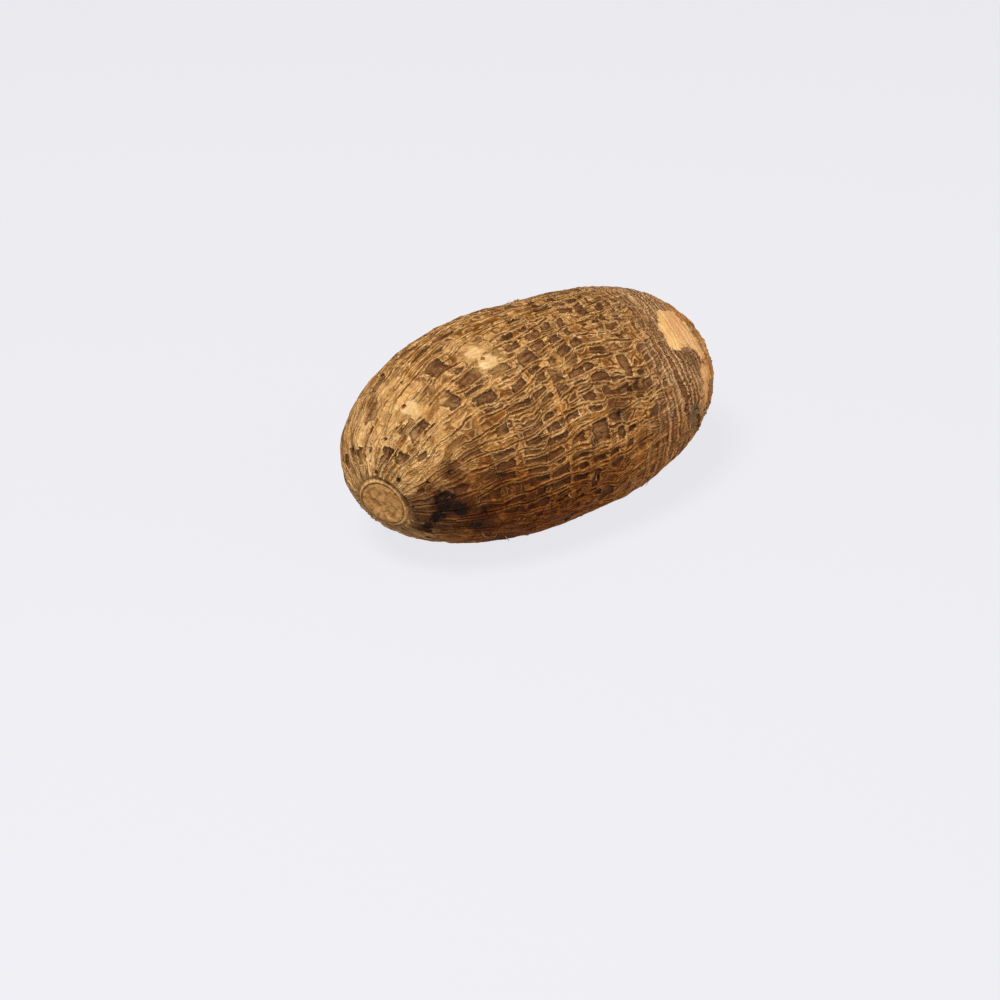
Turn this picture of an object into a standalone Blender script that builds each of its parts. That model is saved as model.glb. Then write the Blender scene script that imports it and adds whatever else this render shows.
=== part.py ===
"""A yam tuber, lying on its side: one grown body with corky, net-like skin.

Metres, +Z up. +X runs along the tuber from its stem scar to its growing tip, and the origin is on
the surface that it lies on, under the middle of its box.

The skin is a globe of columns and rows drawn out to the tuber's form. The columns run from the stem
scar to the tip, as the wrinkles do, and the rows run round it, as the leaf scars do. Raised wrinkles
and leaf scars make the net, and the flat scales of old skin lie sunk in its windows.
"""

import math

import bmesh
import bpy
import numpy as np
from mathutils import Vector, noise

MM = 0.001

# The body without its skin relief. The ends differ in length and in how blunt they are.
STEM_REACH = 82.0 * MM
TIP_REACH = 86.5 * MM
HALF_WIDTH = 46.8 * MM
HALF_HEIGHT = 45.2 * MM
STEM_BLUNTNESS = 2.11
TIP_BLUNTNESS = 2.25
MIDDLE_BLEND = 0.12
RESTING_FLAT = 2.1 * MM

# Where the stem and the tip sit, as a sideways pull on the directions of the body's two ends.
STEM_PULL = Vector((0.0, -0.164, -0.10))
TIP_PULL = Vector((0.0, 0.04, 0.04))

# Swellings and hollows: direction from the middle, height and spread in radians.
SWELLINGS = (
    ((0.69, 0.11, 0.72), 0.2 * MM, 0.30),
    ((0.81, -0.08, 0.59), 1.9 * MM, 0.20),
    ((0.87, -0.27, 0.42), -1.2 * MM, 0.22),
    ((0.85, -0.50, -0.10), 1.1 * MM, 0.30),
    ((0.32, 0.46, 0.83), -1.2 * MM, 0.38),
    ((-0.55, 0.73, 0.42), 1.0 * MM, 0.42),
    ((-0.80, 0.08, -0.59), 1.7 * MM, 0.28),
    ((-0.25, -0.52, -0.80), 0.5 * MM, 0.35),
    ((0.52, -0.74, -0.44), 1.6 * MM, 0.36),
    ((-0.40, -0.85, 0.30), 0.9 * MM, 0.40),
    ((0.30, 0.90, -0.20), -1.1 * MM, 0.50),
    ((0.75, 0.60, 0.10), 1.2 * MM, 0.35),
)

# Wrinkles run from stem to tip: one crest and two floor columns each.
WRINKLES = 40
COLUMNS_PER_WRINKLE = 3
WRINKLE_CRESTS = (0.35 * MM, 0.95 * MM)
WRINKLE_WANDER = 0.5
SHARE_OF_WRINKLES_WHOLE = 0.86
FULL_COUNT_RADIUS = 33.0 * MM
HALF_COUNT_RADIUS = 20.0 * MM
FADE = 8.0 * MM

# Leaf scars ring the body, closer together towards the tip.
FIRST_LEAF_SCAR = 15.0 * MM
LEAF_SCAR_GAP_AT_STEM = 11.6 * MM
LEAF_SCAR_GAP_AT_TIP = 6.2 * MM
LEAF_SCAR_GAP_BEND = 1.5
LEAST_LAST_GAP = 1.4
LEAF_SCAR_CRESTS = (0.5 * MM, 1.2 * MM)
LEAF_SCAR_WANDER = 2.8 * MM

# Slow drift of the wrinkles, leaf scars and stumps: its reach along the body, how many times it
# turns round it, and a seed for each use.
DRIFT_REACH = 28.0 * MM
DRIFT_TURNS = 1.3
WRINKLE_DRIFT = 0.0
LEAF_SCAR_DRIFT = 40.0
STUMP_DRIFT = 80.0
STUMP_ROUND_DRIFT = 120.0

# The old skin's flat scales lie sunk in the windows between wrinkles and leaf scars.
SCALE_DEPTHS = (0.1 * MM, 1.3 * MM)

# The stem scar is a flat disc in a rim, with a moat round it: distance over the skin and height.
STEM_SCAR_ROWS = (
    (4.8 * MM, 0.0),
    (9.1 * MM, -0.25 * MM),
    (10.0 * MM, 0.55 * MM),
    (11.4 * MM, -0.9 * MM),
)
STEM_SCAR_CUT = 1.75 * MM
STEM_SCAR_FACING = Vector((-0.85, -0.51, -0.10)).normalized()

# The tip is a bud in the stumps of its last leaves: distance from the tip over the skin and height.
TIP_ROWS = (
    (19.0 * MM, -0.3 * MM),
    (17.6 * MM, 1.0 * MM),
    (14.6 * MM, -0.8 * MM),
    (13.4 * MM, 0.7 * MM),
    (10.6 * MM, -1.2 * MM),
    (9.2 * MM, 0.5 * MM),
    (6.4 * MM, -1.6 * MM),
    (3.4 * MM, 0.9 * MM),
)
BUD_HEIGHT = 2.6 * MM
STUMP_RAGGED = 0.9 * MM
STUMP_CROWDING = 40.0
STUMP_OUT_OF_ROUND = 0.16

# Root scars: low knobs, as direction from the middle.
ROOT_SCARS = (
    (-0.30, -0.36, 0.88),
    (-0.74, -0.52, 0.43),
    (0.42, -0.80, -0.42),
    (0.10, 0.82, 0.56),
    (-0.52, 0.80, -0.30),
    (0.62, 0.52, 0.58),
    (-0.10, -0.78, -0.62),
)
ROOT_SCAR_HEIGHT = 0.9 * MM
ROOT_SCAR_SPREAD = 0.075

SEED = 7
BARK_COLOUR = (0.36, 0.205, 0.085, 1.0)
BARK_ROUGHNESS = 0.85
PROFILE_STEPS = 600


def smooth_step(value, low, high):
    t = min(1.0, max(0.0, (value - low) / (high - low)))
    return t * t * (3.0 - 2.0 * t)


def growth_direction(latitude, longitude):
    """Direction from the middle to a point of the skin. Latitude 0 is the stem and pi the tip."""
    out = Vector((
        -math.cos(latitude),
        math.sin(latitude) * math.cos(longitude),
        math.sin(latitude) * math.sin(longitude),
    ))
    stem_share = ((1.0 + math.cos(latitude)) / 2.0) ** 2
    tip_share = ((1.0 - math.cos(latitude)) / 2.0) ** 2
    return (out + stem_share * STEM_PULL + tip_share * TIP_PULL).normalized()


def bulk_radius(direction):
    """Distance from the middle to the body's surface, without the relief of the skin."""
    reach = STEM_REACH if direction.x < 0.0 else TIP_REACH
    towards_tip = 1.0 / (1.0 + math.exp(-direction.x / MIDDLE_BLEND))
    bluntness = STEM_BLUNTNESS + (TIP_BLUNTNESS - STEM_BLUNTNESS) * towards_tip
    across = math.hypot(direction.y / HALF_WIDTH, direction.z / HALF_HEIGHT)
    along = abs(direction.x) / reach
    radius = (along**bluntness + across**bluntness) ** (-1.0 / bluntness)
    for centre, height, spread in SWELLINGS:
        turn = direction.angle(Vector(centre))
        radius += height * math.exp(-((turn / spread) ** 2))
    return radius


def bulk_point(latitude, longitude):
    direction = growth_direction(latitude, longitude)
    return direction * bulk_radius(direction)


class Meridian:
    """Turns a distance over the skin from the stem into a latitude, along one longitude."""

    def __init__(self, longitude):
        self.latitudes = np.linspace(0.0, math.pi, PROFILE_STEPS)
        points = np.array([bulk_point(t, longitude) for t in self.latitudes])
        steps = np.linalg.norm(np.diff(points, axis=0), axis=1)
        self.distances = np.concatenate([[0.0], np.cumsum(steps)])
        self.length = float(self.distances[-1])

    def latitude(self, distance):
        return float(np.interp(distance, self.distances, self.latitudes))


def leaf_scar_stations(length):
    """Distances from the stem of the leaf scars, whose gaps shrink towards the tip."""
    stations = [FIRST_LEAF_SCAR]
    last = length - TIP_ROWS[0][0]
    closing = LEAF_SCAR_GAP_AT_STEM - LEAF_SCAR_GAP_AT_TIP
    while True:
        gap = LEAF_SCAR_GAP_AT_STEM - closing * (stations[-1] / last) ** LEAF_SCAR_GAP_BEND
        if stations[-1] + LEAST_LAST_GAP * gap > last:
            return stations
        stations.append(stations[-1] + gap)


def skin_rows(length):
    """Every row between the two poles: (kind, distance over the skin from the stem, height)."""
    rows = [("stem scar", distance, height) for distance, height in STEM_SCAR_ROWS]
    stations = leaf_scar_stations(length)
    for here, following in zip(stations, [*stations[1:], None]):
        rows.append(("leaf scar", here, 0.0))
        if following:
            rows.append(("scales", (here + following) / 2.0, 0.0))
    rows += [("tip", length - distance, height) for distance, height in TIP_ROWS]
    return rows


def wander(distance, longitude, seed):
    """Slow drift, from about -1 to 1, that has no seam round the body."""
    turns = DRIFT_TURNS * Vector((0.0, math.cos(longitude), math.sin(longitude)))
    place = turns + Vector((distance / DRIFT_REACH, 0.0, 0.0))
    return noise.noise(place + Vector((seed, 0.0, 0.0)))


def wrinkle_share(wrinkle, girth_radius):
    """How much of a wrinkle is left. Half of them, and then three in four, end as the body narrows."""
    if wrinkle % 2:
        return smooth_step(girth_radius, FULL_COUNT_RADIUS - FADE, FULL_COUNT_RADIUS)
    if wrinkle % 4:
        return smooth_step(girth_radius, HALF_COUNT_RADIUS - FADE, HALF_COUNT_RADIUS)
    return 1.0


class Net:
    """Heights of the net's crests and windows, from a seeded draw."""

    def __init__(self, rows):
        draw = np.random.default_rng(SEED)
        size = (rows, WRINKLES)
        whole = draw.random(size) < SHARE_OF_WRINKLES_WHOLE
        self.wrinkle_crests = np.where(whole, draw.uniform(*WRINKLE_CRESTS, size), 0.0)
        self.leaf_scar_crests = draw.uniform(*LEAF_SCAR_CRESTS, size)
        self.scale_depths = draw.uniform(*SCALE_DEPTHS, size)

    def window_depth(self, row, wrinkle, girth_radius):
        """Depth of the window past a wrinkle, or past the last one that hasn't ended."""
        for group in (1, 2, 4):
            if wrinkle_share(wrinkle - wrinkle % group, girth_radius) > 0.5:
                break
        return self.scale_depths[row, wrinkle - wrinkle % group]

    def height(self, row, column, kind, girth_radius):
        wrinkle, place = divmod(column, COLUMNS_PER_WRINKLE)
        if kind == "leaf scar":
            return self.leaf_scar_crests[row, wrinkle]
        floor = -self.window_depth(row, wrinkle, girth_radius)
        if place:
            return floor
        crest = self.wrinkle_crests[row, wrinkle]
        return floor + (crest - floor) * wrinkle_share(wrinkle, girth_radius)


def root_scar_height(direction):
    height = 0.0
    for centre in ROOT_SCARS:
        turn = direction.angle(Vector(centre))
        height += ROOT_SCAR_HEIGHT * math.exp(-((turn / ROOT_SCAR_SPREAD) ** 2))
    return height


def skin_point(row, column, kind, distance, height, meridian, net):
    """Place of one point of the skin, in a frame whose origin is the body's middle."""
    longitude = 2.0 * math.pi * column / (WRINKLES * COLUMNS_PER_WRINKLE)
    on_net = kind in ("leaf scar", "scales")
    if on_net:
        longitude += WRINKLE_WANDER * wander(distance, longitude, WRINKLE_DRIFT) * 2.0 * math.pi / WRINKLES
        distance += LEAF_SCAR_WANDER * wander(distance, longitude, LEAF_SCAR_DRIFT)
    if kind == "tip":
        from_tip = meridian.length - distance
        height += STUMP_RAGGED * wander(STUMP_CROWDING * from_tip, longitude, STUMP_DRIFT)
        distance -= STUMP_OUT_OF_ROUND * from_tip * wander(from_tip, longitude, STUMP_ROUND_DRIFT)
    direction = growth_direction(meridian.latitude(distance), longitude)
    point = direction * bulk_radius(direction)
    if on_net:
        height += net.height(row, column, kind, math.hypot(point.y, point.z))
        height += root_scar_height(direction)
    return point + direction * height


def on_stem_scar(point, stem):
    """The point brought down to the flat of the stem scar."""
    above = (point - stem).dot(STEM_SCAR_FACING) + STEM_SCAR_CUT
    return point - STEM_SCAR_FACING * max(0.0, above)


def tuber_mesh():
    meridian = Meridian(-math.pi / 2.0)
    rows = skin_rows(meridian.length)
    net = Net(len(rows))
    columns = WRINKLES * COLUMNS_PER_WRINKLE
    globe = bmesh.new()
    bmesh.ops.create_uvsphere(globe, u_segments=columns, v_segments=len(rows) + 1, radius=1.0)

    stem = bulk_point(0.0, 0.0)
    for vertex in globe.verts:
        latitude = math.acos(max(-1.0, min(1.0, vertex.co.z)))
        row = round(latitude * (len(rows) + 1) / math.pi)
        if row == 0:
            vertex.co = stem - STEM_SCAR_FACING * STEM_SCAR_CUT
            continue
        if row == len(rows) + 1:
            vertex.co = bulk_point(math.pi, 0.0) + Vector((BUD_HEIGHT, 0.0, 0.0))
            continue
        column = round(math.atan2(vertex.co.y, vertex.co.x) * columns / (2.0 * math.pi)) % columns
        kind, distance, height = rows[row - 1]
        if kind == "stem scar":
            bulk = skin_point(row - 1, column, kind, distance, 0.0, meridian, net)
            vertex.co = on_stem_scar(bulk, stem) + STEM_SCAR_FACING * height
        else:
            vertex.co = skin_point(row - 1, column, kind, distance, height, meridian, net)
    return globe


def rest_on_surface(globe):
    """Lowers the body onto Z = 0, with a small flat where it lies, and centres its box."""
    lowest = min(v.co.z for v in globe.verts)
    for vertex in globe.verts:
        vertex.co.z = max(0.0, vertex.co.z - lowest - RESTING_FLAT)
    low = Vector(min(v.co[k] for v in globe.verts) for k in range(3))
    high = Vector(max(v.co[k] for v in globe.verts) for k in range(3))
    middle = (low + high) / 2.0
    bmesh.ops.translate(globe, verts=globe.verts, vec=(-middle.x, -middle.y, 0.0))


def bark_material():
    material = bpy.data.materials.new("corky bark")
    material.use_nodes = True
    surface = material.node_tree.nodes["Principled BSDF"]
    surface.inputs["Base Color"].default_value = BARK_COLOUR
    surface.inputs["Roughness"].default_value = BARK_ROUGHNESS
    surface.inputs["Metallic"].default_value = 0.0
    return material


def make_tuber():
    globe = tuber_mesh()
    rest_on_surface(globe)
    bmesh.ops.recalc_face_normals(globe, faces=globe.faces)
    bmesh.ops.triangulate(globe, faces=globe.faces)
    mesh = bpy.data.meshes.new("tuber")
    globe.to_mesh(mesh)
    globe.free()
    mesh.shade_smooth()
    mesh.materials.append(bark_material())
    tuber = bpy.data.objects.new("tuber", mesh)
    bpy.context.scene.collection.objects.link(tuber)


def main():
    for old in list(bpy.data.objects):
        bpy.data.objects.remove(old)
    make_tuber()


main()
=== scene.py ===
"""A yam tuber lying on its side on a pale studio table.

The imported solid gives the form. A finer skin stands for it, and carries the cracks, wrinkles, leaf
scars and scales of old skin. Lengths are in millimetres until a mesh is placed in the frame.
"""

import math

import bmesh
import bpy
import numpy as np
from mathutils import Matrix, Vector, noise


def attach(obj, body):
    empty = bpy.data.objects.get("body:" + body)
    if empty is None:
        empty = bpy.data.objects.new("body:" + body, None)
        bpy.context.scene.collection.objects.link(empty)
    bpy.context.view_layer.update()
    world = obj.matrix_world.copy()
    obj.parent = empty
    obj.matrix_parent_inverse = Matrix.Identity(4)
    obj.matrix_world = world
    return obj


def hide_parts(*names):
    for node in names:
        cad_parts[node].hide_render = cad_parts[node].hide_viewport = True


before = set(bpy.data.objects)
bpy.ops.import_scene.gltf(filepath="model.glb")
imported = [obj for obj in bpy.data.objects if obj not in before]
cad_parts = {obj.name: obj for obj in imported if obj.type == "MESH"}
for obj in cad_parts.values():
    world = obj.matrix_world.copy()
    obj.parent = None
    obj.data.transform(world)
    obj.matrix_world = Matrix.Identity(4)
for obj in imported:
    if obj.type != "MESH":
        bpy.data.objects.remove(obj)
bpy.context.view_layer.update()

# The body is a swollen underground stem. It grew outwards from the stem that was cut from one end
# and towards the bud at the other, and lay against soil and stones, which left it a little lumpy.
# Its surface is given by two growth coordinates: how far it is from the stem over the skin, and
# how far round the body it is.
MM = 0.001
STEM_REACH = 82.0
TIP_REACH = 86.5
HALF_WIDTH = 46.8
HALF_HEIGHT = 45.2
STEM_BLUNTNESS = 2.11
TIP_BLUNTNESS = 2.25
MIDDLE_BLEND = 0.12
RESTING_FLAT = 2.1
STEM_PULL = np.array([0.0, -0.164, -0.10])
TIP_PULL = np.array([0.0, 0.04, 0.04])
SWELLINGS = (
    ((0.69, 0.11, 0.72), 0.2, 0.30), ((0.81, -0.08, 0.59), 1.9, 0.20), ((0.87, -0.27, 0.42), -1.2, 0.22),
    ((0.85, -0.50, -0.10), 1.1, 0.30), ((0.32, 0.46, 0.83), -1.2, 0.38), ((-0.55, 0.73, 0.42), 1.0, 0.42),
    ((-0.80, 0.08, -0.59), 1.7, 0.28), ((-0.25, -0.52, -0.80), 0.5, 0.35), ((0.52, -0.74, -0.44), 1.6, 0.36),
    ((-0.40, -0.85, 0.30), 0.9, 0.40), ((0.30, 0.90, -0.20), -1.1, 0.50), ((0.75, 0.60, 0.10), 1.2, 0.35),
)
COLUMNS = 480
ROWS = 206
REFERENCE_LONGITUDE = -math.pi / 2.0
PROFILE_STEPS = 1200
ROW_SPACING = ((0, 0.62), (15, 0.62), (24, 1.3), (120, 1.3), (150, 0.8), (220, 0.8))


def growth_direction(latitude, longitude):
    """Directions from the middle to the skin. Latitude 0 is the stem's end and pi the tip."""
    along, across = -np.cos(latitude), np.sin(latitude)
    out = np.stack([along, across * np.cos(longitude), across * np.sin(longitude)], axis=-1)
    out += (((1.0 - along) / 2.0) ** 2)[..., None] * STEM_PULL
    out += (((1.0 + along) / 2.0) ** 2)[..., None] * TIP_PULL
    return out / np.linalg.norm(out, axis=-1, keepdims=True)


def turn_from(direction, centre):
    """Angles between directions and one direction."""
    centre = np.array(centre) / np.linalg.norm(centre)
    return np.arccos(np.clip(direction @ centre, -1.0, 1.0))


def bulk_radius(direction):
    """Distances from the middle to the body's surface, without the relief of the skin."""
    reach = np.where(direction[..., 0] < 0.0, STEM_REACH, TIP_REACH)
    towards_tip = 1.0 / (1.0 + np.exp(-direction[..., 0] / MIDDLE_BLEND))
    bluntness = STEM_BLUNTNESS + (TIP_BLUNTNESS - STEM_BLUNTNESS) * towards_tip
    across = np.hypot(direction[..., 1] / HALF_WIDTH, direction[..., 2] / HALF_HEIGHT)
    along = np.abs(direction[..., 0]) / reach
    radius = (along**bluntness + across**bluntness) ** (-1.0 / bluntness)
    for centre, height, spread in SWELLINGS:
        radius = radius + height * np.exp(-((turn_from(direction, centre) / spread) ** 2))
    return radius


profile_latitudes = np.linspace(0.0, math.pi, PROFILE_STEPS)
profile_directions = growth_direction(profile_latitudes, np.full(PROFILE_STEPS, REFERENCE_LONGITUDE))
profile = profile_directions * bulk_radius(profile_directions)[:, None]
profile_steps = np.linalg.norm(np.diff(profile, axis=0), axis=1)
profile_growth = np.concatenate([[0.0], np.cumsum(profile_steps)])
LENGTH = float(profile_growth[-1])

# Rows of the skin's mesh lie closer together at the stem scar and at the tip, where rings are fine.
row_spacing = np.interp(profile_growth, *np.array(ROW_SPACING).T)
row_count = np.concatenate([[0.0], np.cumsum(np.diff(profile_growth) / row_spacing[1:])])
row_growth = np.interp(np.arange(1, ROWS + 1) * row_count[-1] / (ROWS + 1), row_count, profile_growth)
row_latitude = np.interp(row_growth, profile_growth, profile_latitudes)
column_longitude = np.arange(COLUMNS) * math.tau / COLUMNS
latitude, longitude = np.meshgrid(row_latitude, column_longitude, indexing="ij")
growth = np.repeat(row_growth[:, None], COLUMNS, axis=1)
direction = growth_direction(latitude, longitude)
bulk = direction * bulk_radius(direction)[..., None]
column_gap = np.linalg.norm(np.roll(bulk, -1, axis=1) - bulk, axis=2)
row_girth = column_gap.sum(axis=1) / math.tau
girth = np.repeat(row_girth[:, None], COLUMNS, axis=1)
from_tip = LENGTH - growth


# Leaf scars ring the tuber where its leaves stood. The corky skin between two of them split along
# the body as it swelled. The cracks part where the body widens and meet where it narrows.
FIRST_LEAF_SCAR = 13.2
WIDEST_BAND = 13.4
BAND_BEND = 1.3
NARROWEST_BAND = 2.7
LAST_LEAF_SCAR = 187.0
NARROWING_REACH = 140.0
CRACK_PITCHES = (2.8, 7.0)
CRACKS_AT_STEM = 26
CRACK_SHIFT = 1.2
CRACK_ROOM = 0.45
PARTING_JITTER = (0.85, 1.2)
SPLIT_PLACES = (0.36, 0.64)
OPEN_CRACKS = (0.7, 0.4)
SEED = 11


def drift(height, reach, waves, seed, along=growth):
    """Smooth noise over the skin, up to about a height, with no seam round the body."""
    places = np.stack([
        along / reach + seed,
        waves * np.cos(longitude),
        waves * np.sin(longitude) - seed,
    ], axis=-1).reshape(-1, 3)
    values = [noise.noise(Vector(place)) for place in places]
    return height * np.array(values).reshape(growth.shape)


def leaf_scar_stations():
    """Growth distances of the leaf scars, in bands that narrow towards the tip."""
    stations = [FIRST_LEAF_SCAR]
    while stations[-1] < LAST_LEAF_SCAR:
        share = (stations[-1] - FIRST_LEAF_SCAR) / NARROWING_REACH
        band = WIDEST_BAND - (WIDEST_BAND - NARROWEST_BAND) * min(1.0, share**BAND_BEND)
        stations.append(stations[-1] + band)
    return np.array(stations)


stations = leaf_scar_stations()
draw = np.random.default_rng(SEED)


def girth_at(distance):
    """Radius round the body at a growth distance."""
    return float(np.interp(distance, row_growth, row_girth))


def next_band(angles, girth_mm):
    """Parts the cracks that are too far apart and joins those that are too close."""
    kept = []
    for here, after in zip(angles, np.append(angles[1:], angles[0] + math.tau)):
        gap = (after - here) * girth_mm
        if gap < CRACK_PITCHES[0]:
            continue
        kept.append(here)
        if gap > CRACK_PITCHES[1] * draw.uniform(*PARTING_JITTER):
            kept.append(here + (after - here) * draw.uniform(*SPLIT_PLACES))
    return np.array(kept)


def crack_lines():
    """For each band, the angles of its cracks at its start and at its end."""
    angles = np.linspace(0.0, math.tau, CRACKS_AT_STEM, endpoint=False)
    bands = []
    for here, following in zip(stations, stations[1:]):
        angles = next_band(angles, girth_at(here))
        gaps = np.diff(np.append(angles, angles[0] + math.tau))
        room = np.minimum(gaps, np.roll(gaps, 1)) * CRACK_ROOM
        shift = draw.normal(0.0, CRACK_SHIFT / girth_at(following), len(angles))
        ends = angles + np.clip(shift, -room, room)
        bands.append((angles, ends))
        angles = ends
    return bands


# In a window between two cracks, a flat scale of the old dark skin may have stayed. It lies against
# the leaf scar at the tip's side of its band. The stem's end and the tip have shed most.
SCALE_SHARE = 1.05
SCALE_ZONES = ((12, 0.3), (26, 0.3), (45, 0.5), (60, 1.0), (120, 1.0), (140, 0.5), (156, 0.2), (168, 0.0))
SCALE_PATCH_LENGTH = 26.0
SCALE_PATCH_WAVES = 1.9
SCALE_PATCH_SEED = 60.0
SCALES_STAYED = 0.78
SCALES_STAYED_VARY = 0.75
SCALE_LENGTHS = (0.35, 0.95)
LONGEST_SCALES = ((14.0, 5.5), (45.0, 9.5))
NARROWEST_SCALE_WINDOW = 2.6
SCALE_END_MARGIN = 0.7
SCALE_END_ROOM = 0.55
SCALE_END_JITTER = 0.45
SCALE_LIPS = (0.4, 1.5)
WIDER_LIPS_AT_STEM = ((14.0, 0.5), (45.0, 0.0))
NO_SCALE = -6.0


def scale_chance(distance, angle):
    """Share of windows that keep their scale, in patches."""
    across, up = SCALE_PATCH_WAVES * math.cos(angle), SCALE_PATCH_WAVES * math.sin(angle)
    place = Vector((distance / SCALE_PATCH_LENGTH, across, up + SCALE_PATCH_SEED))
    zone = float(np.interp(distance, *np.array(SCALE_ZONES).T))
    return SCALE_SHARE * zone * (SCALES_STAYED + SCALES_STAYED_VARY * noise.noise(place))


class Band:
    """One band: its cracks, how open each is, and the scale in each window."""

    def __init__(self, start, end, here, following):
        self.start, self.end = start, end
        self.here, self.gap = here, following - here
        count = len(start)
        middle = (start + end) / 2.0
        after = np.append(middle[1:], middle[0] + math.tau)
        width = (after - middle) * girth_at(here + self.gap / 2.0)
        self.open = np.clip(draw.normal(*OPEN_CRACKS, count), 0.0, 1.0)
        self.tone = draw.random(count)
        longest = np.interp(here, *np.array(LONGEST_SCALES).T)
        length = np.minimum(self.gap * draw.uniform(*SCALE_LENGTHS, count), longest)
        margin = SCALE_END_MARGIN + draw.uniform(0.0, SCALE_END_ROOM, count) * (self.gap - length)
        margin += draw.normal(0.0, SCALE_END_JITTER, count)
        self.kept = draw.random(count) < [scale_chance(here, angle) for angle in middle]
        self.kept &= width > NARROWEST_SCALE_WINDOW
        self.scale_end = following - margin
        self.scale_start = self.scale_end - length
        self.lip = draw.uniform(*SCALE_LIPS, count) + np.interp(here, *np.array(WIDER_LIPS_AT_STEM).T)

    def line(self, which, distance):
        """Angle of a crack at a distance."""
        share = (distance - self.here) / self.gap
        return self.start[which] + (self.end[which] - self.start[which]) * share


net = [Band(a, b, here, after) for (a, b), here, after in zip(crack_lines(), stations, stations[1:])]


def wrapped(angle):
    """The same angle, from minus pi to pi."""
    return (angle + math.pi) % math.tau - math.pi


# The growth lines drift slowly over the body, and cracks and scars waver finely. Each wave is its
# height, its reach along the body, how many go round it, and a seed.
GROWTH_WAVES = ((-2.6, 28, 1.3, 40), (-1.1, 6, 8, 43))
TURN_WAVE = (0.075, 28, 1.3, 0)
CRACK_WAVES = ((1.6, 8.5, 4.5, 3), (0.35, 2.6, 12, 5))
skin_growth = growth
for wave in GROWTH_WAVES:
    skin_growth = skin_growth + drift(*wave)
waver = sum(drift(*wave) for wave in CRACK_WAVES)
skin_turn = longitude - drift(*TURN_WAVE) - waver / girth

# Scales that stand out on the side that is seen: distance from the stem, degrees round and length.
SEEN_SCALES = (
    (21, 41, 5), (20, 59, 5.5), (21, 74, 5.5), (21, 86, 5.5), (22, 96, 5.5), (23, 106, 5),
    (26, 113, 4.5), (28, 122, 4.5), (34, 97, 6.5), (37, 108, 7.5), (49, 107, 5), (54, 99, 5),
    (51, 85, 5), (61, 101, 8), (69, 106, 7), (57, 109, 6), (71, 124, 5), (78, 130, 6), (67, 131, 8),
    (77, 138, 7), (77, 148, 6), (77, 155, 8), (75, 163, 7), (86, 158, 8), (81, 109, 7), (86, 113, 6),
    (96, 113, 6), (102, 117, 6), (89, 92, 9), (89, 99, 8), (106, 88, 7), (92, 124, 7), (97, 133, 8),
    (99, 139, 7), (106, 137, 7), (111, 143, 7), (119, 112, 8), (137, 120, 5), (142, 94, 5),
    (145, 108, 5), (125, 118, 6), (63, 161, 9), (53, 162, 6), (53, 150, 8), (46, 177, 8), (53, 186, 7),
    (79, 187, 5), (51, 155, 7),
)


def keep_scale(distance, degrees, length):
    """Keeps the scale of the window at a place of the skin, and sets its length."""
    row = int(np.searchsorted(row_growth, distance))
    column = int(round(degrees / 360.0 * COLUMNS)) % COLUMNS
    middle, turn = skin_growth[row, column], skin_turn[row, column]
    band = net[int(np.searchsorted(stations, middle)) - 1]
    lines = band.start + (band.end - band.start) * (middle - band.here) / band.gap
    turns = wrapped(turn - lines)
    window = int(np.where(turns >= 0.0, turns, np.inf).argmin())
    low, high = band.here + SCALE_END_MARGIN, band.here + band.gap - SCALE_END_MARGIN
    half = min(length, high - low) / 2.0
    middle = np.clip(middle, low + half, high - half)
    band.kept[window] = True
    band.scale_start[window] = max(low, middle - length / 2.0)
    band.scale_end[window] = min(high, middle + length / 2.0)


for distance, degrees, length in SEEN_SCALES:
    keep_scale(distance, degrees, length)


def corners(field):
    """Values at a face's four corners, for every face between two rows and two columns."""
    east = np.roll(field, -1, axis=1)
    return np.stack([field[:-1], east[:-1], east[1:], field[1:]], axis=-1)


corner_growth = corners(skin_growth)
corner_turn = corners(skin_turn)
corner_turn = corner_turn[..., :1] + wrapped(corner_turn - corner_turn[..., :1])
corner_girth = corners(girth)
middle_growth = corner_growth.mean(axis=-1)
middle_turn = corner_turn.mean(axis=-1)

# Face by face: how far its corners are from the nearest crack and leaf scar, how open that crack
# is, how dark the window is, how far inside its scale and how far along it they are, and how wide
# the lips beside it are. Off the net, they have these values.
FAR = 9.0
OFF_NET = {
    "crack_gap": FAR, "crack_open": 0.0, "scale_inside": NO_SCALE, "window_tone": 0.5,
    "scale_lip": 0.8, "scale_age": 0.5, "scar_gap": FAR,
}
on_net = {name: np.full(corner_growth.shape, value) for name, value in OFF_NET.items()}
face_band = np.searchsorted(stations, middle_growth) - 1
for index, band in enumerate(net):
    here = face_band == index
    share = (middle_growth[here] - band.here) / band.gap
    lines = band.start[None, :] + (band.end - band.start)[None, :] * share[:, None]
    turns = wrapped(middle_turn[here][:, None] - lines)
    below = np.where(turns >= 0.0, turns, np.inf).argmin(axis=1)
    above = (below + 1) % len(band.start)
    picks = np.arange(len(below))
    nearest = np.where(turns[picks, below] < -turns[picks, above], below, above)
    distance = corner_growth[here]
    turn = wrapped(corner_turn[here] - band.line(nearest[:, None], distance))
    window = np.where(turn >= 0.0, nearest[:, None], (nearest[:, None] - 1) % len(band.start))
    inside = np.minimum(distance - band.scale_start[window], band.scale_end[window] - distance)
    along = (distance - band.scale_start[window]) / (band.scale_end - band.scale_start)[window]
    for name, values in (
        ("crack_gap", turn * corner_girth[here]), ("crack_open", band.open[nearest][:, None]),
        ("scale_inside", np.where(band.kept[window], inside, NO_SCALE)),
        ("window_tone", band.tone[window]), ("scale_lip", band.lip[window]),
        ("scale_age", np.clip(along, 0.0, 1.0)),
    ):
        on_net[name][here] = values
nearest_scar = np.abs(middle_growth[..., None] - stations).argmin(axis=-1)
on_net["scar_gap"] = corner_growth - stations[nearest_scar][..., None]


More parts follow.
